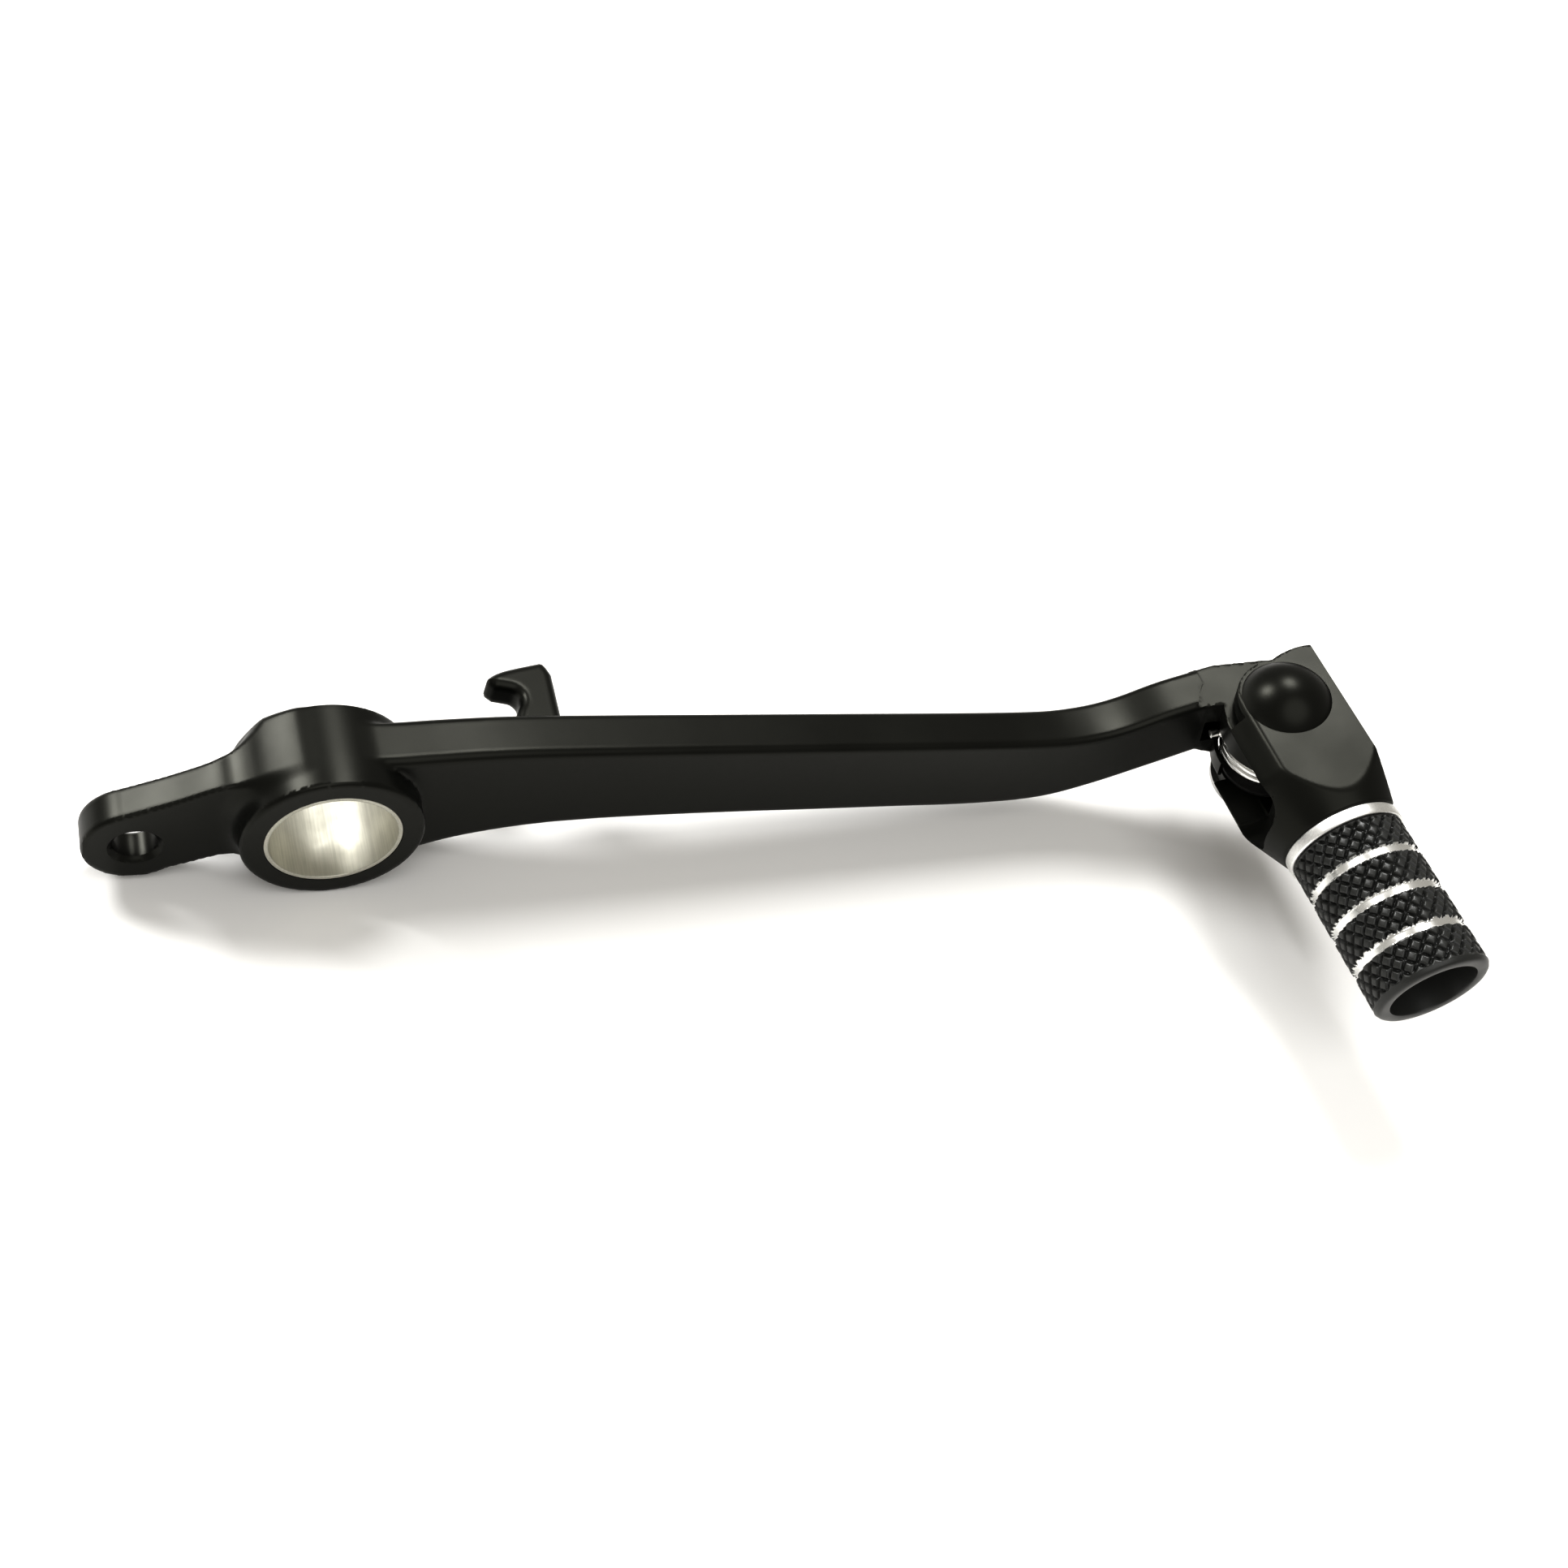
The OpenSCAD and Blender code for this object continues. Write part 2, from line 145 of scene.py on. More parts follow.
arm_top, arm_underside = eased(arm_top_line), eased(arm_low_line)
lug_line = np.vstack([
    spline([(-2, -9.6), (-7, -8.3), (-11, -7.3), (-16, -8.9), (rod_x, rod_z - lug_r)]),
    spline([(rod_x - 2, rod_z + lug_r - 0.4), (-18, 2.9), (-13.4, 5.2), (-11, 6.0), (-9.2, 6.7),
            (-7.4, 7.5), (-4, 8.6)])])
hook_line = np.vstack([
    [(hook_right + 0.4, arm_back - 1), (hook_right + 0.9, hook_tip - 2),
     (hook_right + 0.55, hook_tip - 0.9), (hook_right + 0.15, hook_tip - 0.1)],
    spline([(hook_right - 0.4, hook_tip + 0.1), (hook_x, hook_tip - 0.9),
            (hook_x - 2, hook_tip - 1.6), (hook_x - 3.3, hook_tip - 2.5),
            (hook_x - 3.3, hook_tip - 3.1)], 4),
    spline([(hook_x - 2.6, hook_tip - 3.9), (hook_x - 1.4, hook_tip - 4.2),
            (hook_x - 0.4, hook_tip - 4.5), (hook_x + 0.1, hook_tip - 5.1),
            (hook_x + 0.3, hook_tip - 5.8), (hook_x + 0.1, hook_tip - 6.9),
            (hook_x - 0.6, hook_tip - 8.2), (hook_x - 2, arm_back - 1)], 4)])
eye_front, eye_rear = arm_front - pin_at[1], arm_back - pin_at[1]
eye_plan = [(-9.4, eye_front + 0.03), (-7.4, eye_front - 0.4), (0, 0), (2, -8.95), (6.5, -8.95),
            (7.8, -2.4), (8.1, 0), (7.5, 3.6), (5.3, 7.2), (2.2, 9.3), (-5.5, eye_rear - 0.03),
            (-9.4, eye_rear - 0.03)]


def eye(x, y, z):
    """The tongue of the fold end: its plan outline with a round eye, between two level faces. The
    lower face curves up to the arm's underside."""
    u, v, w = at_pin(x, y, z)
    plan = np.minimum(outline(eye_plan, u, v), np.hypot(u, v) - eye_r)
    floor_rise = 1.2 * np.clip((-5.8 - u) / 3.4, 0, 1) ** 2
    return kept(plan, np.maximum(w - tongue_top, tongue_floor + floor_rise - w), 0.3)


def forging(x, y, z):
    """Distance to the lever arm: forged shapes joined with fillets, less what is machined away."""
    boss = kept(np.hypot(x, z) - boss_r, np.abs(y) - boss_half, 0.55)
    rise = np.maximum(height_over(arm_top, x, z), -height_over(arm_underside, x, z))
    u, v, w = at_pin(x, y, z)
    side = np.maximum(y - arm_back, arm_front - y)
    blade = np.maximum(kept(rise, side, arm_edge), np.maximum(u + 8.6, 3 - x))
    web = lug_half + 3.4 * np.clip((x + 15) / 7.5, 0, 1) ** 2
    lug = kept(np.minimum(outline(lug_line, x, z), np.hypot(x - rod_x, z - rod_z) - lug_r),
               np.maximum(y - web, -y - lug_half), 0.45)
    hook = kept(outline(hook_line, x, y), np.abs(z - hook_top + hook_half) - hook_half, 1.15)
    solid = joined(joined(boss, blade, 0.45), lug, 2.6)
    solid = joined(solid, hook, 1.6)
    solid = joined(solid, beyond(x, pin_at[0] - 22, eye, (x, y, z)), 0.4)
    # machined: the two bores, the spot faces, the spring's pocket and its notch
    from_rod = np.hypot(x - rod_x, z - rod_z)
    from_pin = np.hypot(u, v)
    mouth = np.clip(np.abs(y) - lug_half + rod_chamfer, 0, 1.5)
    notch = np.maximum(np.maximum(np.abs(u + 7.3) - 2.0, np.abs(v - 3.3) - 3.9),
                       np.abs(w + 9.9) - 2.3)
    cuts = [
        np.hypot(x, z) - bush_r,
        from_rod - rod_r - mouth,
        from_pin - eye_bore,
        np.maximum(from_pin - spot_r, tongue_top - w),
        np.maximum(from_pin - spot_r, w - tongue_floor),
        np.maximum(from_pin - pocket_r, w - shelf),
        np.maximum(v + 0.5, w - shelf),
        notch,
    ]
    for cut in cuts:
        solid = np.maximum(solid, -cut)
    return solid


def skin(field, low, high, cell):
    """The surface where a distance field is zero, as points and four-sided faces. Space is cut into
    cubes of side cell; each cube that the surface crosses gets one point, where the planes that
    touch the surface at its crossings meet best, so machined edges come out crisp."""
    counts = [int((b - a) / cell) + 2 for a, b in zip(low, high)]
    x, y, z = (a + cell * np.arange(n) for a, n in zip(low, counts))
    value = np.broadcast_to(field(x[:, None, None], y[None, :, None], z[None, None, :]), counts)
    cubes = np.array(counts) - 1
    spots, normals, around = [], [], []
    for axis in range(3):
        ahead = [slice(None)] * 3
        ahead[axis] = slice(1, None)
        behind = [slice(None)] * 3
        behind[axis] = slice(None, -1)
        start, end = value[tuple(behind)], value[tuple(ahead)]
        corner = np.argwhere((start < 0) != (end < 0))
        f0, f1 = start[tuple(corner.T)], end[tuple(corner.T)]
        outward = f0 < 0
        p0 = np.array(low) + cell * corner
        p1 = p0 + cell * np.eye(3)[axis]
        for _ in range(4):
            p = p0 + (p1 - p0) * (f0 / (f0 - f1))[:, None]
            f = field(*p.T)
            same = (f < 0) == (f0 < 0)
            p0, f0 = np.where(same[:, None], p, p0), np.where(same, f, f0 * 0.7)
            p1, f1 = np.where(same[:, None], p1, p), np.where(same, f1 * 0.7, f)
        h = cell / 50
        slope = np.stack([field(*(p + h * e).T) - field(*(p - h * e).T) for e in np.eye(3)], 1)
        normals.append(slope / np.maximum(np.linalg.norm(slope, axis=1), 1e-9)[:, None])
        spots.append(p)
        b, c = np.eye(3, dtype=int)[(axis + 1) % 3], np.eye(3, dtype=int)[(axis + 2) % 3]
        ring = np.stack([corner - b - c, corner - c, corner, corner - b], 1)
        ring[~outward] = ring[~outward, ::-1]
        around.append(np.ravel_multi_index(ring.reshape(-1, 3).T, cubes).reshape(-1, 4))
    spots, normals, around = (np.concatenate(a) for a in (spots, normals, around))
    used, faces = np.unique(around, return_inverse=True)
    faces = faces.reshape(-1, 4)
    total = len(used)

    def gathered(values):
        return np.bincount(faces.ravel(), np.repeat(values, 4), total)

    crossings = gathered(np.ones(len(spots)))
    middle = np.stack([gathered(spots[:, i]) for i in range(3)], 1) / crossings[:, None]
    planes = np.stack([gathered(normals[:, i] * normals[:, j])
                       for i in range(3) for j in range(3)], 1).reshape(-1, 3, 3)
    reach = np.sum(normals * spots, 1)
    pull = np.stack([gathered(normals[:, i] * reach) for i in range(3)], 1)
    pull -= np.einsum("nij,nj->ni", planes, middle)
    planes += 0.03 * crossings[:, None, None] * np.eye(3)
    points = middle + np.linalg.solve(planes, pull[:, :, None])[:, :, 0]
    cube_low = np.array(low) + cell * np.stack(np.unravel_index(used, cubes), 1)
    return np.clip(points, cube_low, cube_low + cell), faces


def piece(name, points, faces, body, slot, finish, *nodes):
    """A mesh object from points in millimetres, smooth but for its crisp edges, with its finish. It
    rides on a body and stands for the CAD nodes named."""
    mesh = bpy.data.meshes.new(name)
    mesh.vertices.add(len(points))
    mesh.vertices.foreach_set("co", (np.asarray(points) * MM).astype(np.float32).ravel())
    sides = faces.shape[1]
    mesh.loops.add(faces.size)
    mesh.loops.foreach_set("vertex_index", faces.astype(np.int32).ravel())
    mesh.polygons.add(len(faces))
    mesh.polygons.foreach_set("loop_start", np.arange(0, faces.size, sides, dtype=np.int32))
    mesh.polygons.foreach_set("use_smooth", np.ones(len(faces), bool))
    mesh.update(calc_edges=True)
    mesh.validate()
    mesh.set_sharp_from_angle(angle=EDGE_ANGLE)
    mesh.materials.append(finish)
    made = bpy.data.objects.new(name, mesh)
    bpy.context.scene.collection.objects.link(made)
    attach(made, body)
    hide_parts(*nodes)
    return made


def material(name, **sockets):
    """A new material, with the values that are the same all over set on its shader."""
    made = bpy.data.materials.new(name)
    made.use_nodes = True
    shader = made.node_tree.nodes["Principled BSDF"]
    for socket, value in sockets.items():
        shader.inputs[socket.replace("_", " ")].default_value = value
    return made, made.node_tree, shader


def speckle(tree, size, detail=3, stretch=(1, 1, 1)):
    """A noise pattern fixed to the piece: size is its grain in metres, and stretch lengthens it."""
    place = tree.nodes.new("ShaderNodeTexCoord")
    turn = tree.nodes.new("ShaderNodeMapping")
    turn.inputs["Scale"].default_value = [1 / s for s in stretch]
    noise = tree.nodes.new("ShaderNodeTexNoise")
    noise.inputs["Scale"].default_value = 1 / size
    noise.inputs["Detail"].default_value = detail
    tree.links.new(place.outputs["Object"], turn.inputs["Vector"])
    tree.links.new(turn.outputs["Vector"], noise.inputs["Vector"])
    return noise.outputs["Fac"]


def spread(tree, value, low, high, ends=(0.3, 0.7)):
    """A pattern's values between ends carried over to run from low to high."""
    scale = tree.nodes.new("ShaderNodeMapRange")
    for socket, number in zip(("From Min", "From Max", "To Min", "To Max"), (*ends, low, high)):
        scale.inputs[socket].default_value = number
    tree.links.new(value, scale.inputs["Value"])
    return scale.outputs["Result"]


def tinted(tree, value, dark, light, ends=(0.3, 0.7)):
    """A pattern's values turned into a colour between dark and light."""
    mix = tree.nodes.new("ShaderNodeMix")
    mix.data_type = "RGBA"
    mix.inputs["A"].default_value = (*dark, 1)
    mix.inputs["B"].default_value = (*light, 1)
    tree.links.new(spread(tree, value, 0, 1, ends), mix.inputs["Factor"])
    return mix.outputs["Result"]


def raised(tree, shader, *layers):
    """Fine relief from patterns, each with its height in metres, one over the other."""
    normal = None
    for value, height in layers:
        bump = tree.nodes.new("ShaderNodeBump")
        bump.inputs["Distance"].default_value = height
        tree.links.new(value, bump.inputs["Height"])
        if normal is not None:
            tree.links.new(normal, bump.inputs["Normal"])
        normal = bump.outputs["Normal"]
    tree.links.new(normal, shader.inputs["Normal"])


def black_anodised():
    """Satin black over a blasted surface: a fine grain, with slow clouds in the gloss and shade."""
    made, tree, shader = material("satin_black", Specular_IOR_Level=0.28,
                                  Specular_Tint=(1.0, 1.0, 0.88, 1.0))
    clouds = speckle(tree, 0.012, 4)
    grain = speckle(tree, 0.00022, 2)
    tree.links.new(tinted(tree, clouds, (0.0034, 0.0037, 0.0029), (0.0050, 0.0054, 0.0043)),
                   shader.inputs["Base Color"])
    tree.links.new(spread(tree, clouds, 0.31, 0.39), shader.inputs["Roughness"])
    raised(tree, shader, (clouds, 0.00004), (grain, 0.0000022))
    return made


satin_black = black_anodised()
arm_low = (rod_x - lug_r - 1, pin_at[1] - 10, -boss_r - 1)
arm_high = (pin_at[0] + 15, hook_tip + 1, pin_at[2] + 2)
piece("lever_forging", *skin(forging, arm_low, arm_high, 0.37), "lever", "black_alloy",
      satin_black, "lever_arm")

# ---------------------------------------------------------------------------
# Pivot bush: a thin aluminium sleeve pressed into the boss, turned bright on
# its rim and bored along its length, which leaves faint streaks.


def rounded(profile, radius, steps=4):
    """A closed profile with each corner cut to a small round of about the radius."""
    p = np.asarray(profile, float)
    back, on = np.roll(p, 1, axis=0) - p, np.roll(p, -1, axis=0) - p
    back_len, on_len = np.linalg.norm(back, axis=1), np.linalg.norm(on, axis=1)
    cut = np.minimum(radius, 0.45 * np.minimum(back_len, on_len))[:, None, None]
    start = p[:, None] + back[:, None] / back_len[:, None, None] * cut
    end = p[:, None] + on[:, None] / on_len[:, None, None] * cut
    t = (np.arange(steps + 1) / steps)[None, :, None]
    return ((1 - t) ** 2 * start + 2 * t * (1 - t) * p[:, None] + t**2 * end).reshape(-1, 2)


def turned(profile, place, sides=128):
    """A turned part: a closed profile of radius and height carried round an axis. place takes
    points of the lathe's frame, axis along z, to the object's. Faces are set to look outwards."""
    angle = 2 * np.pi * np.arange(sides) / sides
    r, h = np.asarray(profile)[:, :1], np.asarray(profile)[:, 1:]
    points = np.stack([r * np.cos(angle), r * np.sin(angle), h + 0 * angle], 2)
    index = np.arange(points.shape[0] * sides).reshape(-1, sides)
    faces = np.stack([index, np.roll(index, -1, 1), np.roll(np.roll(index, -1, 0), -1, 1),
                      np.roll(index, -1, 0)], 2).reshape(-1, 4)
    points = place(points.reshape(-1, 3))
    a, b, c, d = (points[faces[:, i]] for i in range(4))
    volume = np.sum(np.cross(c - a, d - b) * (a + b + c + d))
    return points, faces if volume > 0 else faces[:, ::-1]


def along_pivot(p):
    """Lathe points with z along the pivot bore, in the object's frame."""
    return np.stack([p[:, 0], p[:, 2], p[:, 1]], 1)


def bare_metal(name, colour, roughness, streaks, lines):
    """Bare turned metal: fine tool lines across the stretch given, and slow changes in gloss."""
    made, tree, shader = material(name, Metallic=1.0)
    tool = speckle(tree, 0.00025, 2, streaks)
    clouds = speckle(tree, 0.004, 3)
    dark = [c * 0.86 for c in colour]
    tree.links.new(tinted(tree, tool, dark, colour), shader.inputs["Base Color"])
    tree.links.new(spread(tree, clouds, roughness * 0.8, roughness * 1.25),
                   shader.inputs["Roughness"])
    raised(tree, shader, (tool, lines))
    return made


bright_bore = bare_metal("bright_bore", (0.56, 0.55, 0.49), 0.55, (1, 30, 1), 0.0000008)
bush_profile = rounded([(bore_r, -boss_half), (bush_r - 0.02, -boss_half),
                        (bush_r - 0.02, boss_half), (bore_r, boss_half)], 0.18)
piece("bright_bush", *turned(bush_profile, along_pivot, 192), "lever", "bright_alloy",
      bright_bore, "pivot_bush")

# ---------------------------------------------------------------------------
# Torsion spring: bright drawn steel wire, wound in close coils round the fold
# pin, with one leg bent out into the arm's notch and one into the knuckle.
# It turns the toe tip back to its stop.
wire_r, coil_r, turns = 0.65, 6.8, 2.25
coil_pitch = 2 * wire_r + 0.05
coil_top = shelf - 0.1 - wire_r
leg_r = 1.1


def from_pin_frame(p):
    """Points of the fold pin's frame in the object's frame."""
    u, v, w = p.T
    return np.stack([pin_at[0] + u * math.cos(lean) - w * math.sin(lean), pin_at[1] + v,
                     pin_at[2] + u * math.sin(lean) + w * math.cos(lean)], 1)


def swept(path, radius, sides=20):
    """Round wire along a path that stays near level: at each point a ring square to the path, with
    small rounded ends."""
    heading = np.gradient(path, axis=0)
    heading /= np.linalg.norm(heading, axis=1)[:, None]
    side = np.cross([0, 0, 1], heading)
    side /= np.linalg.norm(side, axis=1)[:, None]
    up = np.cross(heading, side)
    size = np.full(len(path), radius)
    size[[0, -1]] *= 0.72
    angle = 2 * np.pi * np.arange(sides) / sides
    ring = (np.cos(angle)[None, :, None] * side[:, None]
            + np.sin(angle)[None, :, None] * up[:, None])
    points = (path[:, None] + size[:, None, None] * ring).reshape(-1, 3)
    index = np.arange(len(path) * sides).reshape(-1, sides)
    faces = np.stack([index[:-1], index[1:], np.roll(index[1:], -1, 1), np.roll(index[:-1], -1, 1)],
                     2).reshape(-1, 4)
    ends = np.vstack([path[:1] - 0.02 * heading[:1], path[-1:] + 0.02 * heading[-1:]])
    first, last = len(points), len(points) + 1
    near, far = index[0], index[-1]
    caps = np.concatenate([
        np.stack([np.full(sides // 2, first), near[0::2], near[1::2], np.roll(near, -2)[0::2]], 1),
        np.stack([np.full(sides // 2, last), np.roll(far, -2)[0::2], far[1::2], far[0::2]], 1)])
    return np.vstack([points, ends]), np.concatenate([faces, caps])[:, ::-1]


bend = np.radians(np.arange(90, -1, -10.0))
round_turns = np.radians(np.arange(7.5, 360 * turns + 0.1, 7.5))
leg_out = np.stack([leg_r * np.cos(bend) - coil_r - leg_r, leg_r * np.sin(bend) + 3 - leg_r,
                    np.full(len(bend), coil_top)], 1)
coils = np.stack([-coil_r * np.cos(round_turns), -coil_r * np.sin(round_turns),
                  np.maximum(coil_top - coil_pitch * round_turns / (2 * np.pi),
                             coil_top - 2 * coil_pitch)], 1)
leg_in = np.stack([leg_r * np.cos(bend[1:]), leg_r * np.sin(bend[1:]) - coil_r - leg_r,
                   np.full(len(bend) - 1, coil_top - 2 * coil_pitch)], 1)
wire_path = np.vstack([
    [(-coil_r - leg_r - 1.0, 3, coil_top), (-coil_r - leg_r - 0.9, 3, coil_top)],
    leg_out, [(-coil_r, 1.2, coil_top), (-coil_r, 0.4, coil_top)], coils, leg_in,
    [(leg_r, -slot_end - 0.6, coil_top - 2 * coil_pitch),
     (leg_r, -slot_end - 1.4, coil_top - 2 * coil_pitch)]])
spring_wire = bare_metal("spring_wire", (0.90, 0.90, 0.88), 0.2, (1, 1, 1), 0.0000008)
wire_points, wire_faces = swept(wire_path, wire_r)
piece("return_spring_coils", from_pin_frame(wire_points), wire_faces, "lever",
      "spring_steel", spring_wire, "torsion_spring")

# ---------------------------------------------------------------------------
# Knuckle of the toe tip: turned from bar to a barrel and a cone, milled flat
# above, below and on its outer side, slotted for the arm's tongue and scooped
# where the spring sits. Satin black like the arm, with crisp milled edges.
knuckle_r, knuckle_half = 11.8, 9.5
toe_dx, cone_start, nose_r, knuckle_reach = 0.9, 11.5, 8.6, 19.0
side_flat, scoop_u, scoop_depth, scoop_round = 7.6, -4.0, 15.6, 4.5
milled_edge = 0.22


def knuckle(x, y, z):
    """Distance to the knuckle: the turned shape kept inside its flats and ear outline, less the
    slot, the scoop and the bores."""
    u, v, w = at_pin(x, y, z)
    s, mid = -v, (slot_top + slot_floor) / 2
    rho = np.hypot(u - toe_dx, w + knuckle_half)
    taper = (knuckle_r - nose_r) / (knuckle_reach - cone_start)
    cone = (rho - knuckle_r + (s - cone_start) * taper) / math.hypot(1, taper)
    turned_form = kept(kept(rho - knuckle_r, cone, 0.4), s - knuckle_reach, 0.3)
    ears = np.minimum(np.hypot(u, v) - 6.9, np.hypot(u - 5.5, v + 3.4) - 11.1)
    ears = np.minimum(ears, v + 1)
    solid = kept(turned_form, np.abs(w + knuckle_half) - knuckle_half, milled_edge)
    solid = kept(kept(solid, ears, milled_edge), u - side_flat, milled_edge)
    slot_half = (slot_top - slot_floor) / 2
    slot = np.maximum(np.abs(w - mid) - slot_half, -v - slot_end)
    scoop = kept(np.abs(w - mid) - slot_half, -v - scoop_depth, scoop_round)
    spigot = np.maximum(rho - 5, np.abs(s - 21) - 4)
    solid = kept(solid, -slot, milled_edge)
    solid = kept(solid, -np.maximum(scoop, u - scoop_u), milled_edge)
    solid = np.minimum(solid, spigot)
    return np.maximum(np.maximum(solid, 4.04 - np.hypot(u, v)),
                      -np.maximum(rho - 3.05, 10.5 - s))


knuckle_corners = from_pin_frame(np.array([
    (u, v, w) for u in (-11.4, side_flat) for v in (-25.2, 8.2) for w in (-19.0, 0.0)]))
piece("knuckle_milled", *skin(knuckle, knuckle_corners.min(0) - 0.7, knuckle_corners.max(0) + 0.7,
                              0.29), "tip", "black_alloy", satin_black, "tip_knuckle")

# ---------------------------------------------------------------------------
# Fold pin and what it carries: a domed steel pin through both ears, nylon
# thrust washers, a bronze bush in the tongue, a spacer inside the spring, and
# a washer and clip that hold it from below.


def pin_profile():
    """Half the pin's outline: the dome as an arc, a small round under its rim, the shank with the
    clip's groove, and a chamfered end."""
    dome_r, dome_h, shank = 6.3, 3.4, 4.0
    ball = (dome_r**2 + dome_h**2) / (2 * dome_h)
    rim = math.asin(dome_r / ball)
    arc = np.linspace(0.002, rim - 0.02, 40)
    dome = np.stack([ball * np.sin(arc), dome_h - ball * (1 - np.cos(arc))], 1)
    groove = [(shank, 0), (shank, -20), (3, -20), (3, -20.9), (shank, -20.9), (shank, -21.5),
              (shank - 0.5, -22), (0.01, -22)]
    return np.vstack([dome, [(dome_r - 0.02, 0.03), (dome_r - 0.14, 0.0)], groove])


piece("domed_pin", *turned(pin_profile(), from_pin_frame, 160), "tip", "black_steel", satin_black,
      "fold_pin")


def disc_ring(inner, outer, low, high, edge=0.1):
    """Half the outline of a flat ring or a short tube, its four edges just broken."""
    return rounded([(inner, low), (outer, low), (outer, high), (inner, high)], edge)


nylon, nylon_tree, nylon_shader = material("nylon", Roughness=0.55)
nylon_grain = speckle(nylon_tree, 0.0009)
nylon_tree.links.new(tinted(nylon_tree, nylon_grain, (0.016, 0.016, 0.015), (0.028, 0.028, 0.026)),
                     nylon_shader.inputs["Base Color"])
raised(nylon_tree, nylon_shader, (nylon_grain, 0.00001))
bronze = bare_metal("sintered_bronze", (0.60, 0.40, 0.20), 0.42, (1, 1, 1), 0.000004)
zinc = bare_metal("zinc_plate", (0.66, 0.66, 0.65), 0.34, (1, 1, 1), 0.000002)
phosphate = bare_metal("phosphated_steel", (0.13, 0.13, 0.13), 0.5, (1, 1, 1), 0.000003)
small_rings = [
    ("thrust_washer_upper", (4.04, 6.6, slot_top - 0.6, slot_top), "tip", "nylon", nylon,
     "upper_thrust_washer"),
    ("thrust_washer_lower", (4.04, 6.6, slot_floor, slot_floor + 0.6), "tip", "nylon", nylon,
     "lower_thrust_washer"),
    ("tongue_bush_ring", (4.04, eye_bore, shelf, tongue_top), "lever", "bronze", bronze,
     "tongue_bush"),
    ("spring_spacer", (4.04, eye_bore, slot_floor + 0.6, shelf - 0.05), "tip", "steel", zinc,
     "spring_sleeve"),
    ("pin_washer_ring", (4.1, 7.5, -20, -19), "tip", "steel", zinc, "pin_washer"),
]
for name, size, body, slot, finish, node in small_rings:
    piece(name, *turned(disc_ring(*size), from_pin_frame, 96), body, slot, finish, node)

# ---------------------------------------------------------------------------
# Toe sleeve and its bright collar: an aluminium tube with diamond knurling
# for the boot's grip, anodised black and then grooved three times, which
# bares the metal. The collar stands a little proud in front of the knuckle.
collar_w, collar_r, sleeve_r, sleeve_len = 1.8, 8.45, 8.1, 23.7
sleeve_start, groove_w, groove_pitch, groove_cut, bevel_w = 20.8, 1.15, 6.0, 0.45, 0.28
hollow_r, seat_z, seat_t = 6.1, 25.2, 3.0
knurl_starts, knurl_lead, knurl_depth = 23, 53.0, 0.42


def along_toe(p):
    """Lathe points with z along the toe axis, in the object's frame."""
    return from_pin_frame(np.stack([p[:, 0] + toe_dx, -p[:, 2], p[:, 1] - knuckle_half], 1))


collar_metal = bare_metal("bright_collar", (0.96, 0.96, 0.94), 0.38, (1, 1, 1), 0.0000004)
piece("bright_collar_ring", *turned(rounded([(5.02, knuckle_reach), (collar_r, knuckle_reach),
                                             (collar_r, knuckle_reach + collar_w),
                                             (5.02, knuckle_reach + collar_w)], 0.3),
                                    along_toe, 192),
      "tip", "bright_alloy", collar_metal, "collar_ring")


def knurl(angle, along):
    """Depth of the knurl, 0 on top of a diamond and 1 at the bottom of a groove: two sets of V
    grooves wind round the sleeve in opposite directions and cross. The tops are slightly domed."""
    def one_way(hand):
        turn = knurl_starts * (angle / (2 * np.pi) + hand * along / knurl_lead)
        off = np.abs((turn + 0.5) % 1 - 0.5)
        return np.clip(1 - off / 0.21, 0, 1) + 0.16 * np.clip(1 - off / 0.5, 0, 1) ** 2
    return np.minimum(np.maximum(one_way(1), one_way(-1)), 1)


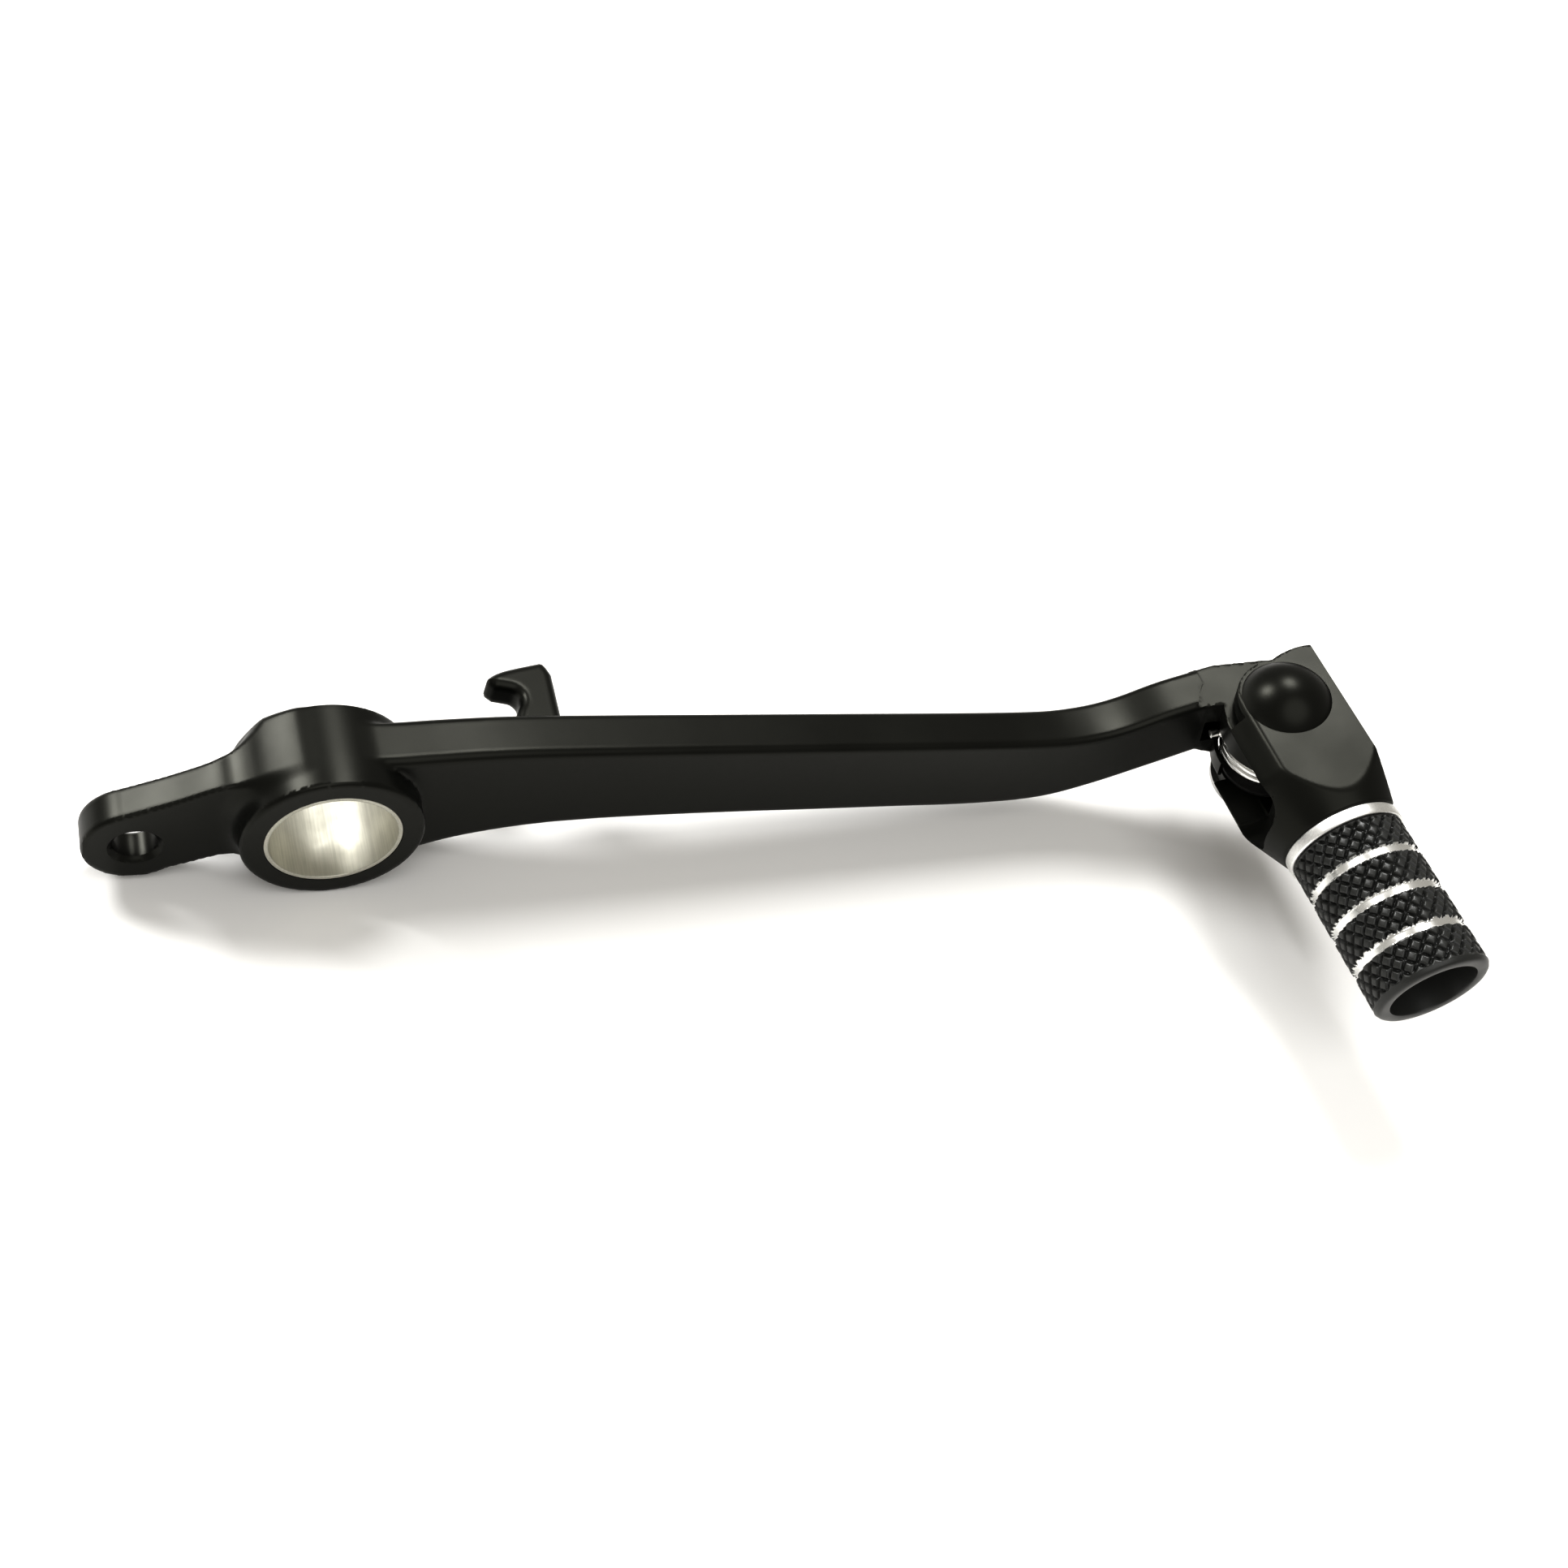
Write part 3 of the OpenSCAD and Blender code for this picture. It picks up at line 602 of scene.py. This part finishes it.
def sleeve_surface(sides=460):
    """The sleeve as one lathe grid: rows along the outside, where the radius is the lower of the
    knurl and the turned grooves, then the rim, the hollow, the seat and the spigot bore. Also
    returns, for each point, whether a turned groove bared it, and how deep in the knurl it lies,
    which sets the painted shade in the knurl's grooves."""
    end = sleeve_start + sleeve_len
    rows = np.arange(sleeve_start + 0.2, end - 0.7, 0.13)[:, None]
    angle = 2 * np.pi * np.arange(sides) / sides
    fade = np.clip((rows - sleeve_start - 0.2) / 0.3, 0, 1) * np.clip((end - 0.8 - rows) / 0.4, 0, 1)
    depth = knurl(angle[None, :], rows) * fade
    cut = knurl_depth * depth
    turned_cut = np.zeros_like(rows)
    for start in knuckle_reach + 0.8 + groove_pitch * np.arange(1, 4):
        bevel = (rows - start + bevel_w) / bevel_w
        inside = np.clip(np.minimum(bevel, (start + groove_w - rows) / 0.12), 0, 1)
        turned_cut = np.maximum(turned_cut, groove_cut * inside)
    shown = (turned_cut > cut + 0.01) & (turned_cut > 0.05)
    radius = sleeve_r - np.maximum(cut, turned_cut)
    inner = np.array([(sleeve_r - 0.1, end - 0.6), (sleeve_r - 0.25, end - 0.3),
                      (sleeve_r - 0.55, end - 0.06), (sleeve_r - 0.9, end),
                      (hollow_r + 0.3, end), (hollow_r + 0.08, end - 0.08), (hollow_r, end - 0.3),
                      (hollow_r, (end + seat_z + seat_t) / 2), (hollow_r, seat_z + seat_t + 0.1),
                      (hollow_r - 0.1, seat_z + seat_t), (3.2, seat_z + seat_t), (3.2, seat_z),
                      (5.02, seat_z), (5.02, sleeve_start), (sleeve_r - 0.4, sleeve_start),
                      (sleeve_r - 0.1, sleeve_start + 0.12)])
    r = np.vstack([radius, np.repeat(inner[:, :1], sides, 1)])
    h = np.concatenate([rows[:, 0], inner[:, 1]])[:, None] + 0 * r
    points = np.stack([r * np.cos(angle), r * np.sin(angle), h], 2)
    index = np.arange(r.size).reshape(r.shape)
    faces = np.stack([index, np.roll(index, -1, 1), np.roll(np.roll(index, -1, 0), -1, 1),
                      np.roll(index, -1, 0)], 2).reshape(-1, 4)
    plain = np.zeros(len(inner) * sides)
    # the last array is the knurl depth that sets the painted shade in the knurl's grooves
    return (along_toe(points.reshape(-1, 3)), faces, np.concatenate([shown.ravel(), plain]),
            np.concatenate([(depth * ~shown).ravel(), plain]))


def grip_finish():
    """Black anodising on the knurl, with painted shade that darkens it towards the bottom of the
    knurl's grooves, and bare metal in the turned grooves, told apart by the attributes bare and
    deep."""
    made, tree, shader = material("knurled_grip", Specular_IOR_Level=0.5)
    bare, deep = tree.nodes.new("ShaderNodeAttribute"), tree.nodes.new("ShaderNodeAttribute")
    bare.attribute_name, deep.attribute_name = "bare", "deep"
    clouds = speckle(tree, 0.003, 4)
    # painted shade: the knurl's black runs from 0.030 on the diamonds' tops down to 0.008 towards
    # the bottoms of its grooves
    black = tinted(tree, deep.outputs["Fac"], (0.030, 0.031, 0.029), (0.008, 0.0085, 0.0075),
                   (0.0, 0.6))
    mix = tree.nodes.new("ShaderNodeMix")
    mix.data_type = "RGBA"
    tree.links.new(bare.outputs["Fac"], mix.inputs["Factor"])
    tree.links.new(black, mix.inputs["A"])
    mix.inputs["B"].default_value = (0.93, 0.93, 0.91, 1)
    tree.links.new(mix.outputs["Result"], shader.inputs["Base Color"])
    tree.links.new(bare.outputs["Fac"], shader.inputs["Metallic"])
    gloss = tree.nodes.new("ShaderNodeMath")
    gloss.operation = "MULTIPLY_ADD"
    tree.links.new(bare.outputs["Fac"], gloss.inputs[0])
    gloss.inputs[1].default_value = -0.06
    tree.links.new(spread(tree, clouds, 0.27, 0.37), gloss.inputs[2])
    tree.links.new(gloss.outputs[0], shader.inputs["Roughness"])
    raised(tree, shader, (speckle(tree, 0.00018, 2), 0.000002))
    return made


sleeve_points, sleeve_faces, sleeve_bare, sleeve_groove_shade = sleeve_surface()
grip = piece("knurled_sleeve", sleeve_points, sleeve_faces, "tip", "knurled_alloy", grip_finish(),
             "toe_sleeve")
# bare marks the real bare metal in the turned grooves; deep sets the painted shade in the knurl's
# grooves
for name, values in (("bare", sleeve_bare), ("deep", sleeve_groove_shade)):
    grip.data.attributes.new(name, "FLOAT", "POINT").data.foreach_set(
        "value", values.astype(np.float32))

# ---------------------------------------------------------------------------
# Clip under the pin, and the lock washer and socket screw deep in the sleeve:
# bought steel parts that keep their plain shapes, with their own finishes.
for node, finish in (("pin_clip", phosphate), ("tip_lock_washer", zinc), ("tip_screw", phosphate)):
    part = frame["nodes"][node]
    part.data.materials.clear()
    part.data.materials.append(finish)

# ---------------------------------------------------------------------------
# Photo table: a plain pale floor that touches the boss and passes just under
# the folded toe sleeve, two soft lights above and behind, a large weak one in
# front, and a camera close over the pivot end.
fold_range = math.radians(70)


def tilt_under(points):
    """Tilt of the plane that touches the boss from below and just passes under all the points."""
    x, z = points[:, 0], points[:, 2]
    return np.min(np.arcsin(boss_r / np.hypot(x, z)) + np.arctan2(z, x))


toe_u, toe_v, toe_w = at_pin(*sleeve_points.T)
folded_sleeve = from_pin_frame(np.stack([
    toe_u * math.cos(fold_range) + toe_v * math.sin(fold_range),
    toe_v * math.cos(fold_range) - toe_u * math.sin(fold_range), toe_w], 1))
floor_tilt = tilt_under(folded_sleeve)
floor_normal = np.array([-math.sin(floor_tilt), 0, math.cos(floor_tilt)])
floor_drop = (boss_r + 0.15) * MM


def floor_material():
    """Smooth white card, with a very faint mottling."""
    made, tree, shader = material("white_card", Roughness=0.75, Specular_IOR_Level=0.2)
    mottle = speckle(tree, 0.05)
    tree.links.new(tinted(tree, mottle, (0.92, 0.915, 0.90), (0.93, 0.928, 0.92)),
                   shader.inputs["Base Color"])
    return made


corner = np.array([(-3, -3), (3, -3), (3, 3), (-3, 3)])
floor_mesh = bpy.data.meshes.new("floor")
floor_points = [(a * math.cos(floor_tilt) - floor_normal[0] * floor_drop, b,
                 a * math.sin(floor_tilt) - floor_normal[2] * floor_drop) for a, b in corner]
floor_mesh.from_pydata(floor_points, [], [(0, 1, 2, 3)])
floor_mesh.materials.append(floor_material())
floor = bpy.data.objects.new("floor", floor_mesh)
bpy.context.scene.collection.objects.link(floor)


lever_middle = (0.06, 0, 0.005)


def softbox(name, place, width, power):
    """A round soft light at a place, facing the middle of the lever."""
    light = bpy.data.lights.new(name, "AREA")
    light.shape, light.size, light.energy = "DISK", width, power
    lamp = bpy.data.objects.new(name, light)
    bpy.context.scene.collection.objects.link(lamp)
    lamp.location = place
    from_lever = Vector(place) - Vector(lever_middle)
    lamp.rotation_euler = from_lever.to_track_quat("Z", "Y").to_euler()


softbox("left", (-0.43, 0.49, 0.49), 0.28, 5.0)
softbox("over", (0.14, 0.385, 0.72), 0.28, 3.5)
softbox("front", (-0.10, -0.60, 0.90), 1.10, 5.5)
world = bpy.data.worlds.new("pale_room")
world.use_nodes = True
world.node_tree.nodes["Background"].inputs["Color"].default_value = (1.0, 0.965, 0.90, 1)
world.node_tree.nodes["Background"].inputs["Strength"].default_value = 0.5
bpy.context.scene.world = world

camera = bpy.data.cameras.new("camera")
camera.sensor_width, camera.lens = 36, 37.27
camera.clip_start, camera.clip_end = 0.01, 20
eye_point = bpy.data.objects.new("camera", camera)
bpy.context.scene.collection.objects.link(eye_point)
look = np.array([0.44398, 0.54120, -0.71414])
right = np.array([0.89541, -0.29778, 0.33100])
up = np.cross(right, look)
turn = Matrix([(right[i], up[i], -look[i]) for i in range(3)])
eye_point.matrix_world = Matrix.Translation((-0.03743, -0.12070, 0.15894)) @ turn.to_4x4()
bpy.context.scene.camera = eye_point
bpy.context.scene.view_settings.view_transform = "Standard"
bpy.context.scene.view_settings.gamma = 0.74
